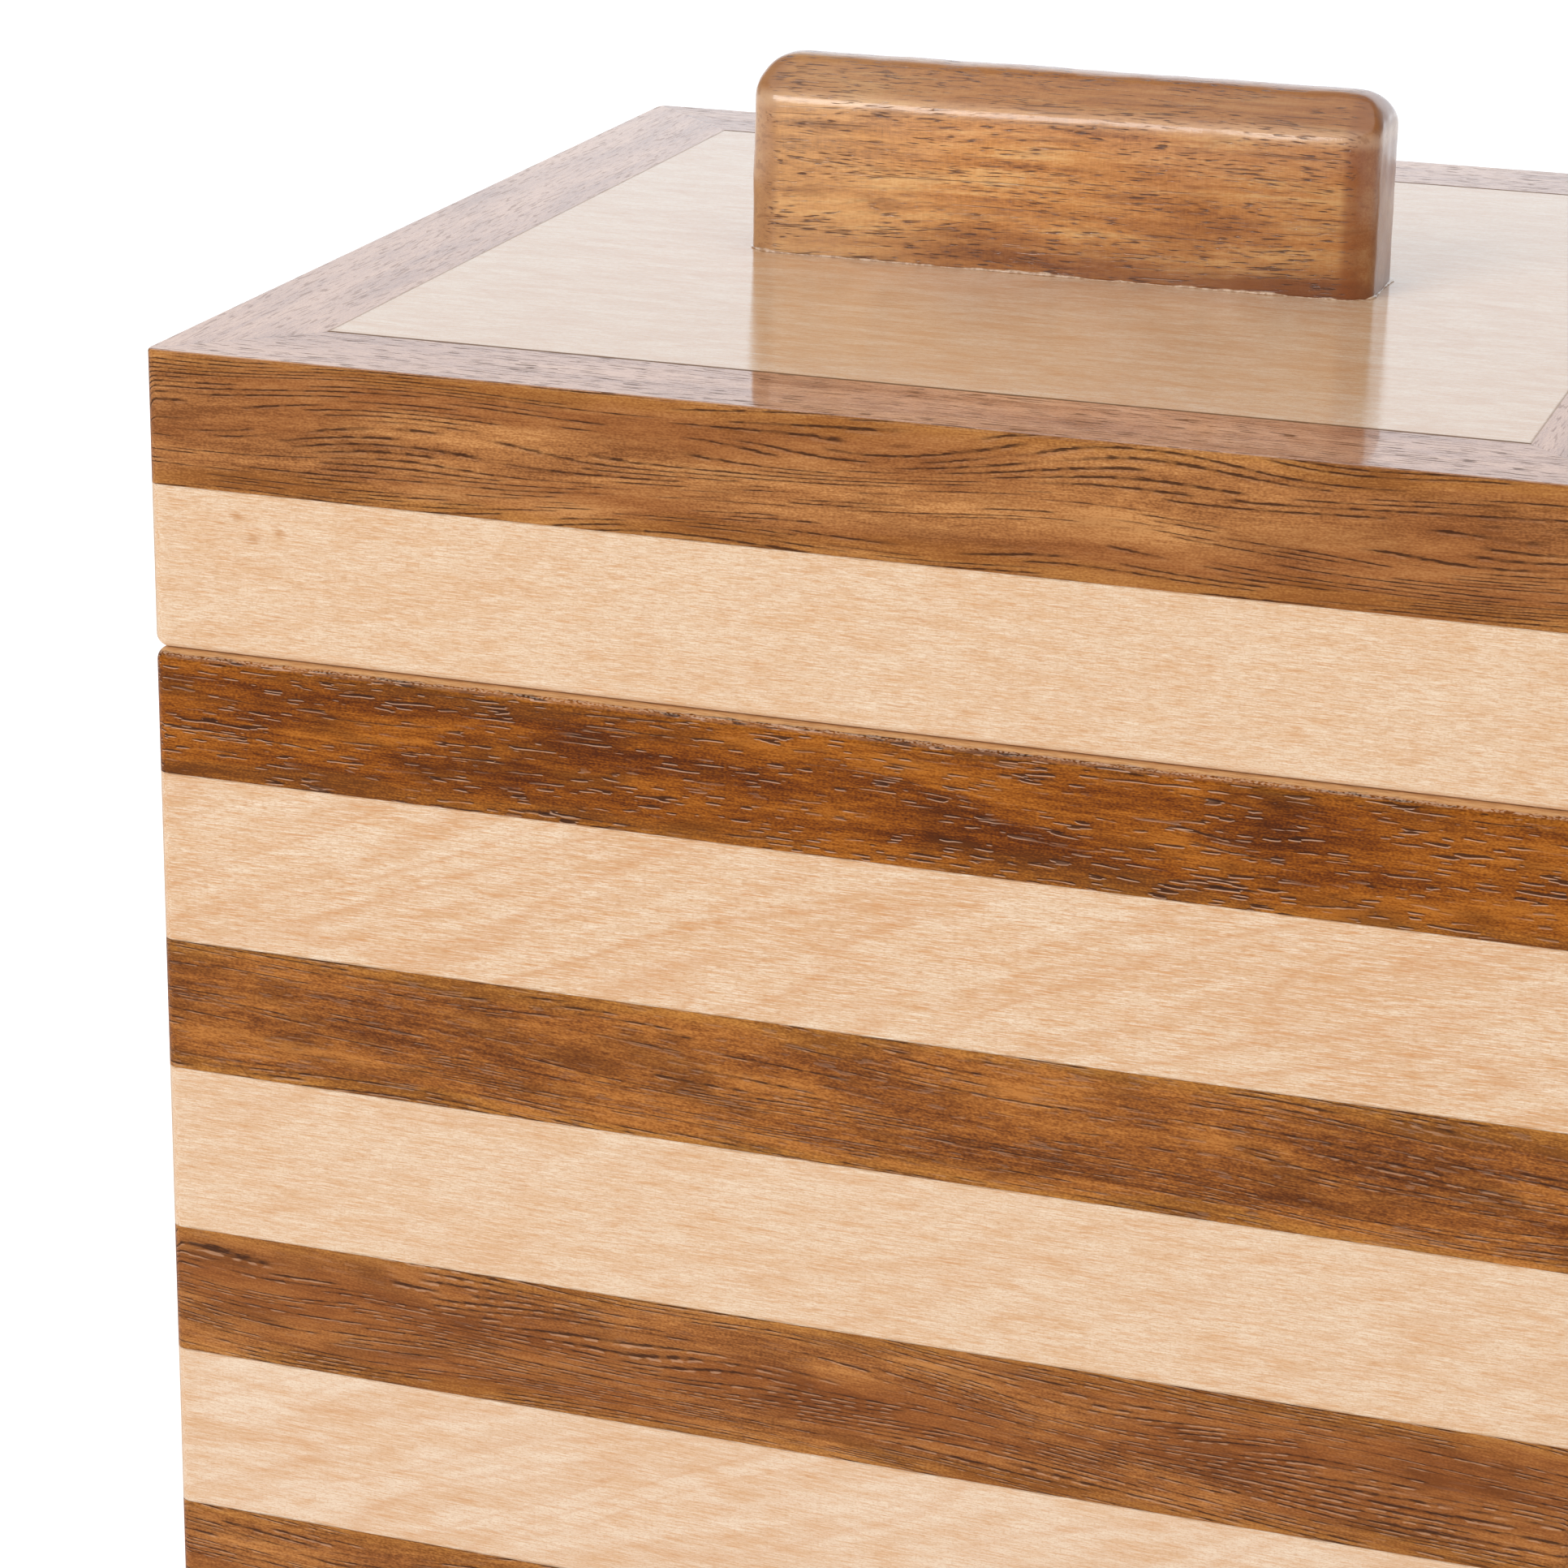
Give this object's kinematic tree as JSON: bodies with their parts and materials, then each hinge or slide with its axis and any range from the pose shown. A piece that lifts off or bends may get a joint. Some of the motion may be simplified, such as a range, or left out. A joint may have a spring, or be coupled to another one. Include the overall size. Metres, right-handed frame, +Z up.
{
  "type": "wooden puzzle box",
  "caption": "Square wooden box of dark and light strips with mitred corners, a lift-off lid with a block handle and a hidden spin lock.",
  "frame": {"origin": "middle of the square face the box rests on", "axes": "+Z up, the way the lid lifts; -Y towards the front; +X to the right, along the handle"},
  "size_m": [0.15, 0.15, 0.1632],
  "materials": {
    "dark_wood": "satin lacquer",
    "light_wood": "satin lacquer",
    "handle_wood": "gloss lacquer",
    "lining_wood": "bare sanded wood",
    "screw_brass": "plain",
    "pin_steel": "plain"
  },
  "bodies": {
    "case": {"front_dark_strip_4": "dark_wood", "right_dark_strip_4": "dark_wood", "back_dark_strip_4": "dark_wood", "left_dark_strip_4": "dark_wood", "front_light_strip_3": "light_wood", "right_light_strip_3": "light_wood", "back_light_strip_3": "light_wood", "left_light_strip_3": "light_wood", "front_dark_strip_3": "dark_wood", "right_dark_strip_3": "dark_wood", "back_dark_strip_3": "dark_wood", "left_dark_strip_3": "dark_wood", "front_light_strip_2": "light_wood", "right_light_strip_2": "light_wood", "back_light_strip_2": "light_wood", "left_light_strip_2": "light_wood", "front_dark_strip_2": "dark_wood", "right_dark_strip_2": "dark_wood", "back_dark_strip_2": "dark_wood", "left_dark_strip_2": "dark_wood", "front_light_strip_1": "light_wood", "right_light_strip_1": "light_wood", "back_light_strip_1": "light_wood", "left_light_strip_1": "light_wood", "front_dark_strip_1": "dark_wood", "right_dark_strip_1": "dark_wood", "back_dark_strip_1": "dark_wood", "left_dark_strip_1": "dark_wood", "front_liner": "lining_wood", "right_liner": "lining_wood", "back_liner": "lining_wood", "left_liner": "lining_wood", "base_board": "lining_wood"},
    "lid": {"front_lid_light_rail": "light_wood", "right_lid_light_rail": "light_wood", "back_lid_light_rail": "light_wood", "left_lid_light_rail": "light_wood", "front_lid_dark_rail": "dark_wood", "right_lid_dark_rail": "dark_wood", "back_lid_dark_rail": "dark_wood", "left_lid_dark_rail": "dark_wood", "top_panel": "light_wood", "front_lip_rail": "lining_wood", "right_lip_rail": "lining_wood", "back_lip_rail": "lining_wood", "left_lip_rail": "lining_wood", "handle": "handle_wood", "handle_screws": "screw_brass"},
    "front_pin": {"front_lock_pin": "pin_steel"},
    "right_pin": {"right_lock_pin": "pin_steel"},
    "back_pin": {"back_lock_pin": "pin_steel"},
    "left_pin": {"left_lock_pin": "pin_steel"}
  },
  "joints": [
    {"name": "lid_lift", "type": "slide", "parent": "case", "child": "lid", "axis": [0, 0, 1], "range_m": [0, 0.09]},
    {"name": "front_pin_slide", "type": "slide", "parent": "case", "child": "front_pin", "axis": [0, 1, 0], "range_m": [0, 0.0045]},
    {"name": "right_pin_slide", "type": "slide", "parent": "case", "child": "right_pin", "axis": [-1, 0, 0], "range_m": [0, 0.0045]},
    {"name": "back_pin_slide", "type": "slide", "parent": "case", "child": "back_pin", "axis": [0, -1, 0], "range_m": [0, 0.0045]},
    {"name": "left_pin_slide", "type": "slide", "parent": "case", "child": "left_pin", "axis": [1, 0, 0], "range_m": [0, 0.0045]}
  ]
}
